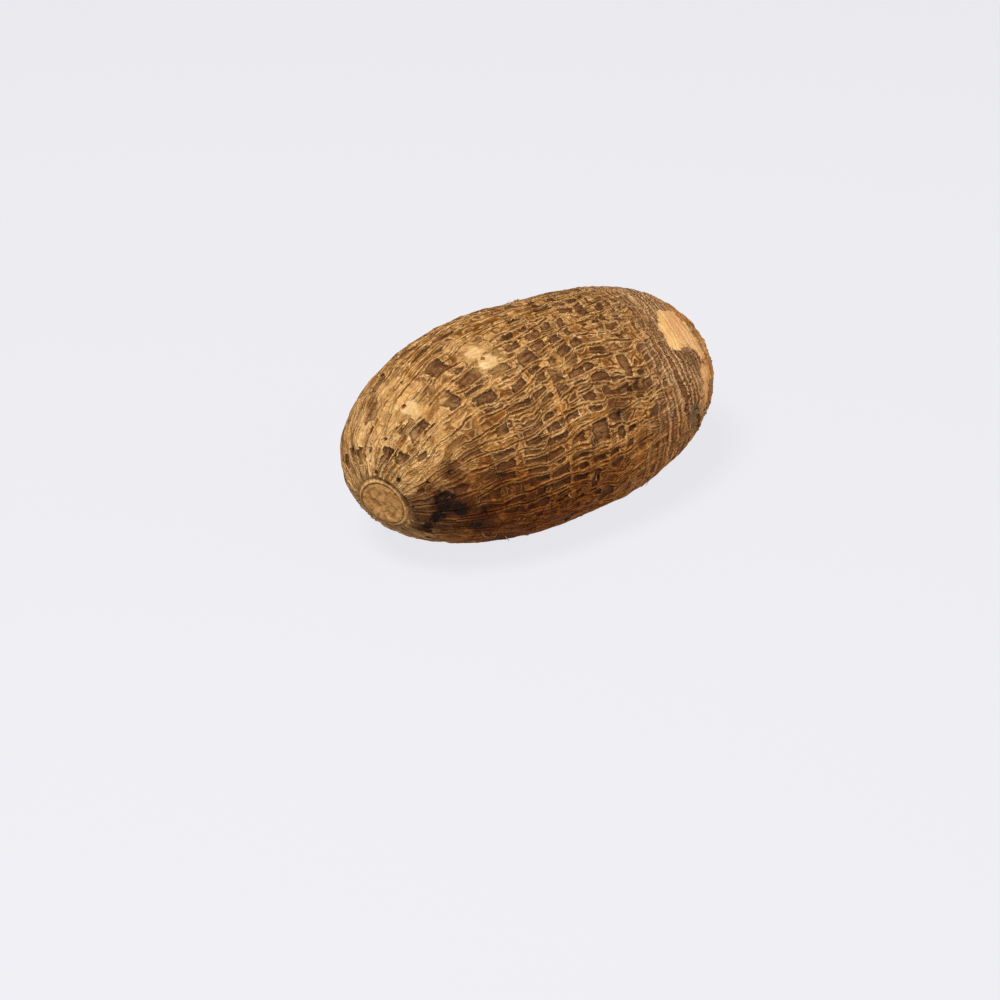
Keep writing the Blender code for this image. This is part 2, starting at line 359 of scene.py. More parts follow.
# Marks on the skin: bare patches round the eyes, where roots or buds grew, rubbed skin, a patch by
# the tip, stains, browned skin, hollows and small holes. Each place is its distance from the stem,
# degrees round the body and radius.
OUTSIDE = -30.0
MARKS = {
    "bare": (
        (68, 100.5, 4.4), (66.5, 91.5, 3.4), (39.5, 89, 4), (37.5, 80, 2.2), (55, 300, 3.2),
        (98, 255, 3), (128, 20, 2.8),
    ),
    "rubbed": (
        (66, 90, 6), (66, 82, 7), (62, 74, 5.5), (38, 73, 7), (32.5, 76, 6), (44, 82, 5), (46, 64, 5),
        (75, 92, 4), (48, 100, 3), (92, 122, 4), (118, 120, 5), (70, 350, 7), (55, 300, 5),
        (98, 255, 5), (128, 20, 5), (40, 20, 7), (145, 320, 6),
    ),
    "tip_bare": (
        (158.5, 122, 6), (161, 132, 6), (153, 136, 4.5), (165, 120, 4.5), (152, 127, 3),
        (166.5, 130, 5.5), (167.5, 142, 4.5), (168.5, 152, 3.2), (163.5, 167, 3.8), (168, 173, 2.6),
        (161.5, 176, 3.4), (160, 183, 2.6), (163, 288, 5), (166, 299, 4.5),
    ),
    "stain": (
        (28, 165, 6), (33, 178, 5.5), (24, 187, 5), (27, 176, 5), (34.5, 142, 3), (15, 165, 2.2),
        (15.5, 195, 2.6), (20, 207, 4), (44, 186, 3), (110, 300, 5), (60, 230, 4), (121, 150, 2.4),
        (117, 178, 2), (150, 240, 4), (108, 158, 2.8), (52, 160, 2.6), (41.5, 200, 3.5),
    ),
    "brown": (
        (18, 158, 5), (24, 152, 6), (36, 150, 6), (18, 180, 6), (27, 175, 9), (38, 168, 8),
        (40, 190, 8), (50, 179, 7), (20, 200, 6), (30, 205, 7), (18, 214, 4), (46, 205, 6),
        (50, 157, 9), (57, 180, 9), (101, 142, 7), (110, 152, 8), (66, 171, 7), (57, 130, 6),
        (67, 145, 6), (46, 135, 6), (75, 134, 5.5), (125, 118, 6), (74, 160, 7), (60, 105, 4),
        (38, 60, 4), (90, 300, 12), (130, 250, 10), (50, 20, 9), (120, 60, 9),
    ),
    "hollow": ((151, 185, 4.6), (150, 194, 4), (158, 330, 5)),
    "hole": (
        (67.5, 97.5, 1), (39, 84.5, 1.05), (61.7, 109, 0.6), (81, 142, 0.7), (81.2, 191.4, 0.9),
        (20.5, 67, 0.6), (17, 118, 1), (27.5, 85, 0.8), (25, 141, 0.7), (15.5, 84, 0.8),
        (62, 100, 0.7), (80, 98, 0.9), (84, 99, 1), (96, 187, 1), (117, 150, 1.3), (113, 108, 0.9),
        (125, 111, 0.8), (55, 300, 0.8), (98, 255, 0.8), (128, 20, 0.8), (40, 92, 0.7), (46, 72, 0.7),
        (30, 99, 0.5), (24, 100, 0.6), (69, 122, 0.6), (52, 131, 0.5), (104, 96, 0.7), (134, 88, 0.7),
        (90, 60, 0.6), (72, 232, 0.9), (44, 262, 0.8), (88, 318, 0.8), (120, 332, 0.9),
        (146, 216, 0.9), (34, 14, 0.7), (60, 40, 0.7), (105, 10, 0.8), (140, 60, 0.7),
    ),
}


def skin_place(distance, degrees):
    """Point of the body at a growth distance and an angle."""
    at = np.interp(distance, profile_growth, profile_latitudes)
    way = growth_direction(np.array([at]), np.array([math.radians(degrees)]))[0]
    return way * bulk_radius(way)


def nearest_patch(patches):
    """How far each point of the skin is inside the nearest of the patches."""
    inside = np.full(growth.shape, OUTSIDE)
    for distance, degrees, radius in patches:
        away = np.linalg.norm(bulk - skin_place(distance, degrees), axis=2)
        inside = np.maximum(inside, radius - away)
    return inside


marks = {name: nearest_patch(patches) for name, patches in MARKS.items()}

# The relief of the skin: raised lips beside each crack, sunken scales, leaf scars that stand up, and
# smooth skin on the bare patches, with pits and hollows sunk in it.
LIP_HEIGHT = 0.42
LIP_FROM_CRACK = 0.8
LIP_WIDTH = 0.5
CRACK_DEPTH = 0.5
CRACK_WIDTH = 0.35
CRACK_AT_STEM = 0.2
CRACKS_DEEPEN = (14.0, 40.0)
SCALE_DEPTH = 0.7
SCALE_EDGE = (-0.15, 0.45)
LEAF_SCAR_HEIGHT = 0.25
LEAF_SCAR_WIDTH = 0.7
NET_AT_STEM = 0.3
NET_RISES = (12.0, 24.0)
NET_MEAN = 0.75
NET_VARIES = (0.9, 6, 7, 90)
BARE_LEVEL = 0.85
BARE_EDGE = (-1.0, 1.0)
PITS = (("hole", 0.9, -0.5, 0.4), ("hollow", 1.6, -2.0, 3.0))


def smooth_step(value, low, high):
    """Rises smoothly from 0 at low to 1 at high."""
    t = np.clip((value - low) / (high - low), 0.0, 1.0)
    return t * t * (3.0 - 2.0 * t)


def at_points(corner_values):
    """Averages corner values at the points of the mesh."""
    total = np.zeros(growth.shape)
    count = np.zeros(growth.shape)
    for corner, (row, east) in enumerate(((0, 0), (0, 1), (1, 1), (1, 0))):
        values = np.roll(corner_values[..., corner], east, axis=1)
        total[row:row + len(values)] += values
        count[row:row + len(values)] += 1.0
    return total / count


crack_gap = np.abs(on_net["crack_gap"])
in_scale = np.minimum(crack_gap - on_net["scale_lip"], on_net["scale_inside"])
deepened = CRACK_AT_STEM + (1.0 - CRACK_AT_STEM) * smooth_step(corner_growth, *CRACKS_DEEPEN)
net_relief = LIP_HEIGHT * np.exp(-(((crack_gap - LIP_FROM_CRACK) / LIP_WIDTH) ** 2))
net_relief -= CRACK_DEPTH * on_net["crack_open"] * deepened * np.exp(-((crack_gap / CRACK_WIDTH) ** 2))
net_relief -= SCALE_DEPTH * smooth_step(in_scale, *SCALE_EDGE)
net_relief += LEAF_SCAR_HEIGHT * np.exp(-((on_net["scar_gap"] / LEAF_SCAR_WIDTH) ** 2))
net_relief *= NET_AT_STEM + (1.0 - NET_AT_STEM) * smooth_step(corner_growth, *NET_RISES)
skin_relief = at_points(net_relief)
skin_relief *= NET_MEAN + drift(*NET_VARIES)
bare_inside = np.maximum(marks["bare"], marks["tip_bare"])
skin_relief *= 1.0 - BARE_LEVEL * smooth_step(bare_inside, *BARE_EDGE)
for name, depth, outer, inner in PITS:
    skin_relief -= depth * smooth_step(marks[name], outer, inner)

# The stem scar is where the stem was cut: a flat disc of sealed fibres in a thin rim, with a furrow
# round it. At the tip, the collars of old leaf bases ring the bud like ragged steps.
STEM_SCAR_CUT = 1.75
STEM_SCAR_FACING = np.array([-0.85, -0.51, -0.10])
STEM_SCAR_REACH = 14.0
STEM_SCAR_PROFILE = (
    (0, -0.3), (5, 0), (8.9, 0.2), (9.6, -0.35), (10.2, 0.5), (10.6, 0.3), (11.4, -0.9),
    (12.4, -0.3), (STEM_SCAR_REACH, 0),
)
STEM_SCAR_OUT_OF_ROUND = ((0.05, 2.0, 0.8), (0.04, 3.0, 0.0))
DISC_RADIUS = 9.0
DISC_LUMP = 3.2
DISC_LUMP_HEIGHT = 0.45
COLLARS_REACH = 21.0
TIP_PROFILE = (
    (0, 2.6), (3.4, 0.9), (6.4, -1.6), (9.2, 0.5), (10.6, -1.2), (13.4, 0.7), (14.6, -0.8),
    (17.6, 1), (19, -0.3), (COLLARS_REACH, 0),
)
COLLARS_RAGGED = (0.9, 3, 5, 80)
COLLARS_OUT_OF_ROUND = (0.16, 28, 1.3, 120)
NET_STARTS = (11.4, 13.2)
NET_ENDS = (17, 22)
SKIN_LUMPS = ((0.4, 9, 4.5, 21), (0.3, 14, 13, 33))

net_share = smooth_step(growth, *NET_STARTS) * smooth_step(from_tip, *NET_ENDS)
skin_relief *= net_share
for lump in SKIN_LUMPS:
    skin_relief += drift(*lump) * net_share
ragged_from_tip = from_tip * (1.0 + drift(*COLLARS_OUT_OF_ROUND, from_tip))
collars = drift(*COLLARS_RAGGED) * (from_tip < COLLARS_REACH)
skin_relief += np.interp(ragged_from_tip, *np.array(TIP_PROFILE).T) + collars
place = bulk + direction * skin_relief[..., None]

stem_direction = growth_direction(np.zeros(1), np.zeros(1))[0]
stem = stem_direction * bulk_radius(stem_direction)
facing = STEM_SCAR_FACING / np.linalg.norm(STEM_SCAR_FACING)
above_cut = (bulk - stem) @ facing + STEM_SCAR_CUT
out_of_round = 1.0
for part, waves, phase in STEM_SCAR_OUT_OF_ROUND:
    out_of_round = out_of_round + part * np.sin(waves * longitude + phase)
scar_round = growth * out_of_round
scar_height = np.interp(scar_round, *np.array(STEM_SCAR_PROFILE).T)
on_disc = growth < DISC_RADIUS
disc_lumps = np.array([noise.noise(Vector(point) / DISC_LUMP) for point in bulk[on_disc]])
scar_height[on_disc] += DISC_LUMP_HEIGHT * disc_lumps
flattened = bulk - facing * np.maximum(0.0, above_cut)[..., None]
flattened += facing * scar_height[..., None]
on_scar = (growth < STEM_SCAR_REACH)[..., None]
place = np.where(on_scar, flattened + (place - bulk) * net_share[..., None], place)
stem_point = stem - facing * STEM_SCAR_CUT
tip_direction = growth_direction(np.full(1, math.pi), np.zeros(1))[0]
tip_point = tip_direction * (bulk_radius(tip_direction) + TIP_PROFILE[0][1])


def add_piece(name, shape):
    """Makes a finished shape an object, at the origin."""
    mesh = bpy.data.meshes.new(name)
    shape.to_mesh(mesh)
    shape.free()
    piece = bpy.data.objects.new(name, mesh)
    bpy.context.scene.collection.objects.link(piece)
    return piece


# The skin's mesh is a closed tube of rows and columns. The middles of its two caps are the poles.
globe = bmesh.new()
bmesh.ops.create_cone(
    globe, cap_ends=True, cap_tris=True, segments=COLUMNS, radius1=1.0, radius2=1.0, depth=2.0,
)
sides = [edge for edge in globe.edges if abs(edge.verts[0].co.z - edge.verts[1].co.z) > 1.0]
bmesh.ops.subdivide_edges(globe, edges=sides, cuts=ROWS - 2, use_grid_fill=True)
tube = np.array([vertex.co for vertex in globe.verts])
is_pole = np.hypot(tube[:, 0], tube[:, 1]) < 0.5
is_stem = is_pole & (tube[:, 2] > 0.0)
is_tip = is_pole & (tube[:, 2] < 0.0)
grid_row = np.rint((1.0 - tube[:, 2]) / 2.0 * (ROWS - 1)).astype(int)
tube_turn = np.arctan2(tube[:, 1], tube[:, 0])
point_column = np.rint(tube_turn * COLUMNS / math.tau).astype(int) % COLUMNS
points = place[grid_row, point_column]
points[is_stem] = stem_point
points[is_tip] = tip_point
lowest = points[:, 2].min() + RESTING_FLAT
middle_across = (points[:, :2].min(axis=0) + points[:, :2].max(axis=0)) / 2.0
points[:, 2] = np.maximum(0.0, points[:, 2] - lowest)
points[:, :2] -= middle_across
for vertex, point in zip(globe.verts, points * MM):
    vertex.co = point
bmesh.ops.recalc_face_normals(globe, faces=globe.faces)
tuber_skin = add_piece("tuber_skin", globe)
skin_mesh = tuber_skin.data
skin_mesh.shade_smooth()

# The row and column of every corner of every face, and which of its face's four corners it is.
point_row = np.where(is_stem, 0, np.where(is_tip, ROWS + 1, grid_row + 1))
loop_point = np.zeros(len(skin_mesh.loops), np.int32)
skin_mesh.loops.foreach_get("vertex_index", loop_point)
face_size = np.zeros(len(skin_mesh.polygons), np.int32)
skin_mesh.polygons.foreach_get("loop_total", face_size)
loop_face = np.repeat(np.arange(len(face_size)), face_size)
loop_row = point_row[loop_point]
loop_column = np.where(is_pole, np.nan, point_column)[loop_point]
face_start = np.cumsum(face_size) - face_size
first_row = np.minimum.reduceat(loop_row, face_start)
low_column = np.fmin.reduceat(loop_column, face_start)
high_column = np.fmax.reduceat(loop_column, face_start)
first_column = np.where(high_column - low_column > 1, high_column, low_column).astype(int)
in_first_column = loop_column == first_column[loop_face]
corner_of = np.where(
    loop_row == first_row[loop_face],
    np.where(in_first_column, 0, 1), np.where(in_first_column, 3, 2),
)

# The fibres run along the growth lines. Their place is the distance from the stem and a point on a
# circle as wide as the body, so that patterns on them close round it.
FIBRE_RADIUS = 40.0
across, up = FIBRE_RADIUS * np.cos(skin_turn), FIBRE_RADIUS * np.sin(skin_turn)
fibres = np.stack([skin_growth, across, up], axis=-1)


def store(name, on, values):
    """Gives the skin's material numbers or places at the mesh's points or its faces' corners."""
    kind, part = ("FLOAT", "value") if values.ndim == 1 else ("FLOAT_VECTOR", "vector")
    attribute = skin_mesh.attributes.new(name, kind, on)
    attribute.data.foreach_set(part, values.astype(np.float32).ravel())


quads = face_size[loop_face] == 4
quad_rows, quad_columns = first_row[loop_face[quads]] - 1, first_column[loop_face[quads]]
for name, corner_values in on_net.items():
    values = np.full(len(loop_point), OFF_NET[name])
    values[quads] = corner_values[quad_rows, quad_columns, corner_of[quads]]
    store(name, "CORNER", values)
for name, point_values, at_stem, at_tip in (
    ("growth", skin_growth, 0.0, LENGTH),
    ("stem_distance", scar_round, 0.0, LENGTH),
    ("tip_distance", ragged_from_tip, LENGTH, 0.0),
    ("fibre", fibres, (0.0, 0.0, 0.0), (LENGTH, 0.0, 0.0)),
    *((name, inside, OUTSIDE, OUTSIDE) for name, inside in marks.items()),
):
    values = point_values[grid_row, point_column]
    values[is_stem] = at_stem
    values[is_tip] = at_tip
    store(name, "POINT", values)

# The flat map of the skin, for textures: round the body one way and along it the other.
MAP_EDGE = 0.004
round_share = (loop_column - first_column[loop_face]) % COLUMNS + first_column[loop_face]
round_share = np.where(is_pole[loop_point], first_column[loop_face] + 0.5, round_share) / COLUMNS
flat_map = np.stack([round_share, loop_row / (ROWS + 1)], axis=-1)
flat_map = MAP_EDGE + flat_map * (1.0 - 2.0 * MAP_EDGE)
skin_mesh.uv_layers.new(name="OFBake").data.foreach_set("uv", flat_map.astype(np.float32).ravel())


# Cork bark is dead, dry, suberised skin. It is matt, tan where it has stretched and split, and
# purple brown where the old skin stays. The underside is painted darker, partly soil and partly shade.
def linear(colour):
    """Linear value of an sRGB hex colour."""
    parts = [int(colour[k:k + 2], 16) / 255.0 for k in (1, 3, 5)]
    return [p / 12.92 if p < 0.04045 else ((p + 0.055) / 1.055) ** 2.4 for p in parts] + [1.0]


def new_material(name, finish):
    """A new material, its node tree and its shader, with the values that are the same all over."""
    material = bpy.data.materials.new(name)
    material.use_nodes = True
    shader = material.node_tree.nodes["Principled BSDF"]
    for setting, value in finish.items():
        shader.inputs[setting].default_value = value
    return material, material.node_tree, shader


def add(tree, kind, inputs, output=0, **settings):
    """Adds a node with its settings, and colours, values or links for its inputs. Gives an output."""
    made = tree.nodes.new("ShaderNode" + kind)
    for name, value in settings.items():
        setattr(made, name, value)
    for name, value in inputs.items():
        if isinstance(value, bpy.types.NodeSocket):
            tree.links.new(value, made.inputs[name])
        else:
            made.inputs[name].default_value = linear(value) if isinstance(value, str) else value
    return made.outputs[output]


def dress(tree, shader, colour, height, rise):
    """Gives a shader its colour, and its relief of so many millimetres."""
    tree.links.new(colour, shader.inputs["Base Color"])
    bump = add(tree, "Bump", {"Height": height, "Distance": rise * MM})
    tree.links.new(bump, shader.inputs["Normal"])


# Settings of a Mix node that blends two colours.
BLEND = {"output": 2, "data_type": "RGBA"}
bark, cork, bark_surface = new_material("cork_bark", {"Roughness": 0.78, "Specular IOR Level": 0.08})
field = {}
for name in (*on_net, *marks, "growth", "stem_distance", "tip_distance"):
    field[name] = add(cork, "Attribute", {}, "Fac", attribute_name=name)
at_metres = add(cork, "TexCoord", {}, "Object")
at_mm = add(cork, "VectorMath", {0: at_metres, "Scale": 1.0 / MM}, operation="SCALE")
field["height"] = add(cork, "SeparateXYZ", {0: at_mm}, "Z")
fibre = add(cork, "Attribute", {}, "Vector", attribute_name="fibre")

# The fibres wander as they run, by so many millimetres over so many.
WANDER_REACH = (2.8, 2.8, 2.8)
WANDER_LENGTH = 6.0
wander = add(cork, "TexNoise", {"Vector": at_mm, "Scale": 1.0 / WANDER_LENGTH, "Detail": 1.0}, "Color")
wavy = add(cork, "VectorMath", {0: wander, 1: WANDER_REACH, 2: fibre}, operation="MULTIPLY_ADD")

# Each grain has the size in millimetres of its own feature, along the body and across it.
grain = {}
for name, ground, size, detail in (
    ("threads", wavy, (9, 1.5, 1.5), 2.5),
    ("hairs", wavy, (6, 0.5, 0.5), 3),
    ("end_threads", wavy, (7, 4.2, 4.2), 4),
    ("breaks", fibre, (4.5, 7, 7), 2),
    ("rings", fibre, (1.6, 24, 24), 1.5),
    ("blotches", at_mm, (24, 24, 24), 4),
    ("patches", at_mm, (8, 8, 8), 3),
    ("shift", at_mm, (4.4, 4.4, 4.4), 3),
    ("mottle", at_mm, (2.2, 2.2, 2.2), 3),
    ("speckle", at_mm, (0.9, 0.9, 0.9), 1),
):
    spaced = add(cork, "Mapping", {"Vector": ground, "Scale": [1.0 / length for length in size]})
    grain[name] = add(cork, "TexNoise", {"Vector": spaced, "Scale": 1.0, "Detail": detail, "Roughness": 0.6})

# Short splits between the long cracks part the skin into small flakes of bark, some of them dark.
SPLIT_SIZE = (6.4, 3.1, 3.1)
spaced = add(cork, "Mapping", {"Vector": wavy, "Scale": [1.0 / length for length in SPLIT_SIZE]})
splits = {"Vector": spaced, "Scale": 1.0, "Randomness": 0.85}
split_gap = add(cork, "TexVoronoi", splits, "Distance", feature="DISTANCE_TO_EDGE")
field["split_gap"] = add(cork, "Math", {0: split_gap, 1: SPLIT_SIZE[1]}, operation="MULTIPLY")
flake_draw = add(cork, "SeparateXYZ", {0: add(cork, "TexVoronoi", splits, "Color")}, "X")

# A scale is rounded at its corners, and keeps off the lips of the cracks beside it.
SCALE_CORNER = 1.7
off_lip = add(cork, "Math", {0: field["crack_gap"]}, operation="ABSOLUTE")
off_lip = add(cork, "Math", {0: off_lip, 1: field["scale_lip"]}, operation="SUBTRACT")
rounded = {0: off_lip, 1: field["scale_inside"], 2: SCALE_CORNER}
field["in_scale"] = add(cork, "Math", rounded, operation="SMOOTH_MIN")

# The edges of marks are ragged. Each grain shifts an edge by so many millimetres.
edge = {}
for name, grains in (
    ("crack_gap", {"shift": 1.8}), ("scar_gap", {"mottle": 1.2}), ("split_gap", {"mottle": 1}),
    ("in_scale", {"mottle": 2.2, "shift": 2.4, "patches": 3}),
    ("height", {"patches": 45}), ("growth", {"patches": 16}),
    ("bare", {"shift": 5, "threads": 4}), ("brown", {"threads": 14}), ("rubbed", {"patches": 14}),
    ("tip_bare", {"mottle": 4}), ("stain", {"patches": 6, "mottle": 5}),
    ("stem_distance", {"mottle": 1.2}), ("tip_distance", {"patches": 5, "mottle": 2}),
):
    edge[name] = field[name]
    for by, reach in grains.items():
        edge[name] = add(cork, "Math", {0: grain[by], 1: reach, 2: edge[name]}, operation="MULTIPLY_ADD")

# Cracks, scars and scales are brought back to their places, less the middle of what shifts them.
for name, middle in (("crack_gap", 0.9), ("scar_gap", 0.6), ("in_scale", 3.75)):
    edge[name] = add(cork, "Math", {0: edge[name], 1: middle}, operation="SUBTRACT")
for name in ("crack_gap", "scar_gap"):
    edge[name] = add(cork, "Math", {0: edge[name]}, operation="ABSOLUTE")

# The rings by the tip reach further back along the underside.
RING_SLOPE = -0.35
sloped = {0: field["height"], 1: RING_SLOPE, 2: edge["growth"]}
edge["ring"] = add(cork, "Math", sloped, operation="MULTIPLY_ADD")

# Each share goes from 0 at its first value to 1 at its second.
share = {"open": field["crack_open"]}
for value, spans in (
    (grain["threads"], {"thread": (0.33, 0.67), "dark_thread": (0.47, 0.32)}),
    (grain["end_threads"], {"end_thread": (0.35, 0.65), "end_furrow": (0.46, 0.36)}),
    (grain["hairs"], {"hair": (0.5, 0.72)}),
    (grain["blotches"], {"blotch": (0.48, 0.68), "ochre": (0.48, 0.3)}),
    (grain["patches"], {"patch": (0.5, 0.68), "pale_patch": (0.47, 0.33)}),
    (grain["mottle"], {"fleck": (0.54, 0.72), "pale_fleck": (0.42, 0.28), "dark_fleck": (0.47, 0.66)}),
    (grain["speckle"], {"dust": (0.45, 0.75)}),
    (grain["breaks"], {"unbroken": (0.38, 0.55)}),
    (grain["rings"], {"ring_dark": (0.5, 0.36), "ring_pale": (0.54, 0.68)}),
    (edge["crack_gap"], {
        "line": (0.68, 0.12), "lip_out": (0.15, 0.6), "lip_in": (1.3, 0.7),
        "crest_out": (0.4, 0.65), "crest_in": (1.05, 0.75), "valley": (0.9, 1.7),
    }),
    (field["split_gap"], {"split": (0.3, 0.05), "split_lip_out": (0.12, 0.35), "split_lip_in": (0.8, 0.4)}),
    (edge["split_gap"], {"flake": (0.75, 1.3)}),
    (flake_draw, {"dark_flake": (0.46, 0.58), "darker_flake": (0.7, 0.8)}),
    (edge["in_scale"], {
        "scale": (-0.3, 0.55), "scale_rim": (0.95, 0.35),
        "scale_lip_out": (-0.05, -0.35), "scale_lip_in": (-1.1, -0.6),
    }),
    (field["scale_age"], {"tip_side": (0.1, 0.75)}),
    (edge["scar_gap"], {
        "leaf_scar": (0.75, 0.3), "scar_furrow_out": (0.6, 0.95), "scar_furrow_in": (1.7, 1.2),
    }),
    (field["stem_distance"], {"off_scar": (11.4, 12.4), "on_disc": (10.1, 9.6)}),
    (field["growth"], {
        "past_stem": (16, 46), "deepened": (13, 42),
        "stem_end": (62, 28), "stem_half": (140, 80),
    }),
    (edge["ring"], {"ring_zone": (104, 132), "tip_half": (136, 146)}),
    (edge["growth"], {"tip_zone": (170, 182)}),
    (edge["height"], {"low_side": (90, 54)}),
    (edge["bare"], {"bare": (4.2, 6), "by_bare": (-0.5, 3.5)}),
    (edge["brown"], {"brown": (5, 12)}),
    (edge["rubbed"], {"rubbed": (4.5, 10)}),
    (edge["tip_bare"], {"tip_bare": (1, 2.6)}),
    (edge["stain"], {"stain": (6.4, 8.6), "stain_edge": (1, 6.5)}),
    (field["hollow"], {"hollow": (-1, 2.5)}),
    (field["hole"], {"hole": (-0.2, 0.25)}),
):
    for name, (none, full) in spans.items():
        share[name] = add(
            cork, "MapRange", {"Value": value, "From Min": none, "From Max": full},
            interpolation_type="SMOOTHSTEP",
        )
for name, at_end in (("thread", "end_thread"), ("dark_thread", "end_furrow")):
    share[name] = add(cork, "Mix", {0: share["stem_end"], 2: share[name], 3: share[at_end]})
for name, opposite in (
    ("ground", "scale"), ("body", "stem_end"), ("kept", "rubbed"), ("net_zone", "tip_zone"),
    ("not_bare", "bare"), ("not_tip_bare", "tip_bare"),
):
    share[name] = add(cork, "Math", {0: 1.0, 1: share[opposite]}, operation="SUBTRACT")


def where(names, amount):
    """An amount where all the shares named are full, and less of it where they are partly so."""
    for name in names.split():
        amount = add(cork, "Math", {0: amount, 1: share[name]}, operation="MULTIPLY")
    return amount


# A scale has a shade of its own, with darker and paler flecks and fibres.
scale_shade = add(cork, "Mix", {0: field["window_tone"], 6: "#42260F", 7: "#6E4828"}, **BLEND)
for name, shade in (
    ("pale_fleck", "#9C7A56"), ("dark_fleck", "#3E2410"), ("hair", "#7E5A38"), ("dark_thread", "#361E0E"),
):
    scale_shade = add(cork, "Mix", {0: share[name], 6: scale_shade, 7: shade}, **BLEND)

# The coats lie over one another from the ground up: where each is, how strong, and its colour.
colour = add(cork, "Mix", {0: share["thread"], 6: "#704109", 7: "#AA763A"}, **BLEND)
for names, strength, shade in (
    ("stem_end", 0.5, "#A27E4C"),
    ("stem_end end_furrow", 0.65, "#6E4216"),
    ("stem_end end_thread", 0.5, "#C8A674"),
    ("ochre", 0.4, "#AA7024"),
    ("valley body", 0.4, "#603408"),
    ("valley body patch", 0.5, "#4A260A"),
    ("rubbed", 0.7, "#B88E58"),
    ("flake dark_flake body", 0.9, "#58351A"),
    ("flake dark_flake", 0.3, "#6E4A2A"),
    ("flake darker_flake body", 0.85, "#3E2410"),
    ("blotch body", 0.5, "#5C3006"),
    ("pale_patch thread", 0.4, "#C4965C"),
    ("hair body", 0.15, "#5A340F"),
    ("dark_fleck body", 0.55, "#6E4214"),
    ("dark_fleck stem_end", 0.45, "#84541F"),
    ("brown", 0.85, "#502A08"),
    ("split_lip_out split_lip_in thread", 0.7, "#C49A64"),
    ("split unbroken body", 0.7, "#522A04"),
    ("split unbroken stem_end", 0.5, "#7C4C18"),
    ("leaf_scar off_scar thread", 0.45, "#C4955C"),
    ("scale off_scar tip_side kept", 0.95, scale_shade),
    ("scale off_scar kept", 0.6, scale_shade),
    # Painted shade: each kept scale is darkened round its rim, under the lip beside it.
    ("scale scale_rim off_scar kept", 0.7, "#2A1408"),
    ("scale_lip_out scale_lip_in off_scar kept thread", 0.8, "#C89E6A"),
    ("lip_out lip_in", 0.35, "#AE7E44"),
    ("lip_out lip_in thread", 0.85, "#C89C66"),
    # Painted highlight: a pale line along the crest of each lip.
    ("crest_out crest_in pale_fleck", 0.9, "#DEB57E"),
    # Crack lines are partly their own dark colour and partly painted shade, darker where deep and open.
    ("line unbroken open deepened", 0.85, "#4C2200"),
    ("line unbroken open", 0.4, "#70420E"),
    ("lip_out lip_in dark_fleck", 0.4, "#8C5A22"),
    ("brown stem_end", 0.65, "#5E3612"),
    ("brown body", 0.3, "#5E3612"),
    ("ring_zone", 0.45, "#865E3E"),
    ("leaf_scar ring_zone", 0.7, "#C29A6E"),
    ("scar_furrow_out scar_furrow_in ring_zone", 0.5, "#54321A"),
    ("ring_zone ring_dark", 0.6, "#5C381E"),
    ("ring_zone ring_pale", 0.65, "#C69E72"),
    ("stain_edge net_zone", 0.6, "#482610"),
    ("tip_zone", 0.97, "#A87238"),
    ("tip_zone patch", 0.55, "#704420"),
    ("tip_zone pale_patch", 0.7, "#C6975C"),
    ("tip_zone ring_dark", 0.6, "#5A3414"),
    ("tip_zone ring_pale", 0.4, "#C99C66"),
    ("by_bare", 0.35, "#B88E54"),
    ("bare", 0.8, "#B89664"),
    ("bare pale_patch", 0.5, "#CCB088"),
    ("bare thread", 0.3, "#CCAE80"),
    ("bare dark_fleck", 0.5, "#9E7640"),
    ("tip_bare", 0.92, "#C89C60"),
    ("tip_bare ring_pale", 0.75, "#AE7052"),
    ("tip_bare ring_dark", 0.6, "#D6B27A"),
    ("tip_bare patch", 0.4, "#B4834A"),
    ("tip_bare tip_half", 0.18, "#BC7C5C"),
    ("hollow", 0.9, "#685C52"),
    ("stain", 0.92, "#180A05"),
    # Painted sheen: pale purple-grey patches over the dark stain.
    ("stain pale_patch", 0.65, "#7A5640"),
    ("stain pale_fleck", 0.5, "#6A4C40"),
    ("on_disc", 1.0, "#9A6E3C"),
    ("on_disc end_thread", 0.6, "#B88E58"),
    ("on_disc dark_fleck", 0.75, "#74491C"),
    ("on_disc pale_fleck", 0.6, "#C4965E"),
    ("hole", 0.92, "#2C1406"),
    ("hole bare", 0.8, "#8A521A"),
):
    colour = add(cork, "Mix", {0: where(names, strength), 6: colour, 7: shade}, **BLEND)

# Rings: the rim and the furrows of the stem scar, and the collars of the leaf bases at the tip. Each
# is its distance, its half width, how strong it is, and its colour.
RING_CORE = 0.3
for measure, rings in (
    ("stem_distance", (
        # The third of these rings lies in the furrow round the scar and is painted shade.
        (10.3, 0.55, 0.75, "#5A3410"), (11.1, 0.55, 0.45, "#C69C68"), (12.2, 1.0, 0.35, "#4A280E"),
    )),
    ("tip_distance", (
        (22.6, 1.2, 0.7, "#522E16"), (21.0, 1.3, 0.7, "#BE9058"), (20.0, 0.7, 0.6, "#C07E60"),
        (18.2, 1.2, 0.8, "#522E16"), (16.8, 1.3, 0.7, "#B88850"), (15.8, 0.7, 0.5, "#C07E60"),
        (14.1, 1.3, 0.85, "#442612"), (12.6, 1.3, 0.7, "#B88850"), (9.9, 1.8, 0.85, "#3A200E"),
        (6.2, 1.8, 0.6, "#A67A46"),
    )),
):
    for distance, half_width, strength, shade in rings:
        away = add(cork, "Math", {0: edge[measure], 1: distance}, operation="SUBTRACT")
        away = add(cork, "Math", {0: away}, operation="ABSOLUTE")
        span = {"From Min": half_width, "From Max": half_width * RING_CORE, "To Max": strength}
        amount = add(cork, "MapRange", {"Value": away, **span}, interpolation_type="SMOOTHSTEP")
        colour = add(cork, "Mix", {0: amount, 6: colour, 7: shade}, **BLEND)

